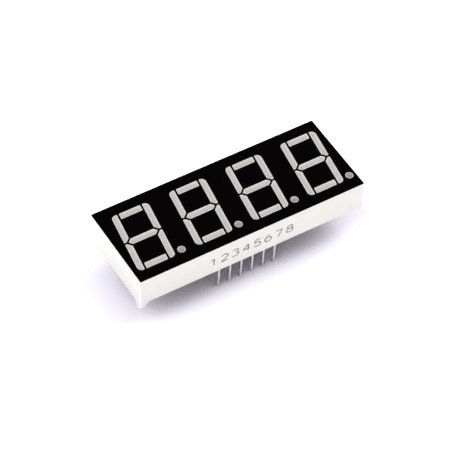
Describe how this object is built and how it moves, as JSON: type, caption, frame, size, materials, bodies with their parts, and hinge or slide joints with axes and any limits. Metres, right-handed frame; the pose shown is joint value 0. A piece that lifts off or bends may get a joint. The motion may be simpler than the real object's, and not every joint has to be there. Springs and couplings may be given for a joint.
{
  "type": "seven segment display module",
  "caption": "Long low electronic display block: black face with leaning light-grey segments and points, white walls on corner feet, and two short rows of round pins.",
  "frame": {"origin": "centre of the pin grid, on the plane that the four feet stand on", "axes": "+X along the row of digits from left to right, +Y towards the digits' tops, +Z out of the black face"},
  "size_m": [0.0502, 0.019, 0.0145],
  "materials": {
    "white_plastic": "satin",
    "black_ink": "matte",
    "milky_epoxy": "satin",
    "board_laminate": "satin",
    "copper": "satin",
    "solder": "satin",
    "tinned_pin": "satin",
    "die": "satin",
    "gold_wire": "polished"
  },
  "bodies": {
    "root": {"housing": "white_plastic", "face_print": "black_ink", "epoxy_fill": "milky_epoxy", "circuit_board": "board_laminate", "front_copper": "copper", "rear_copper": "copper", "solder_joints": "solder", "pin_1": "tinned_pin", "pin_2": "tinned_pin", "pin_3": "tinned_pin", "pin_4": "tinned_pin", "pin_5": "tinned_pin", "pin_6": "tinned_pin", "pin_7": "tinned_pin", "pin_8": "tinned_pin", "pin_9": "tinned_pin", "pin_10": "tinned_pin", "pin_11": "tinned_pin", "pin_12": "tinned_pin", "die_1_a": "die", "die_1_b": "die", "die_1_c": "die", "die_1_d": "die", "die_1_e": "die", "die_1_f": "die", "die_1_g": "die", "die_1_dp": "die", "die_2_a": "die", "die_2_b": "die", "die_2_c": "die", "die_2_d": "die", "die_2_e": "die", "die_2_f": "die", "die_2_g": "die", "die_2_dp": "die", "die_3_a": "die", "die_3_b": "die", "die_3_c": "die", "die_3_d": "die", "die_3_e": "die", "die_3_f": "die", "die_3_g": "die", "die_3_dp": "die", "die_4_a": "die", "die_4_b": "die", "die_4_c": "die", "die_4_d": "die", "die_4_e": "die", "die_4_f": "die", "die_4_g": "die", "die_4_dp": "die", "bond_wires_1": "gold_wire", "bond_wires_2": "gold_wire", "bond_wires_3": "gold_wire", "bond_wires_4": "gold_wire"}
  },
  "joints": []
}
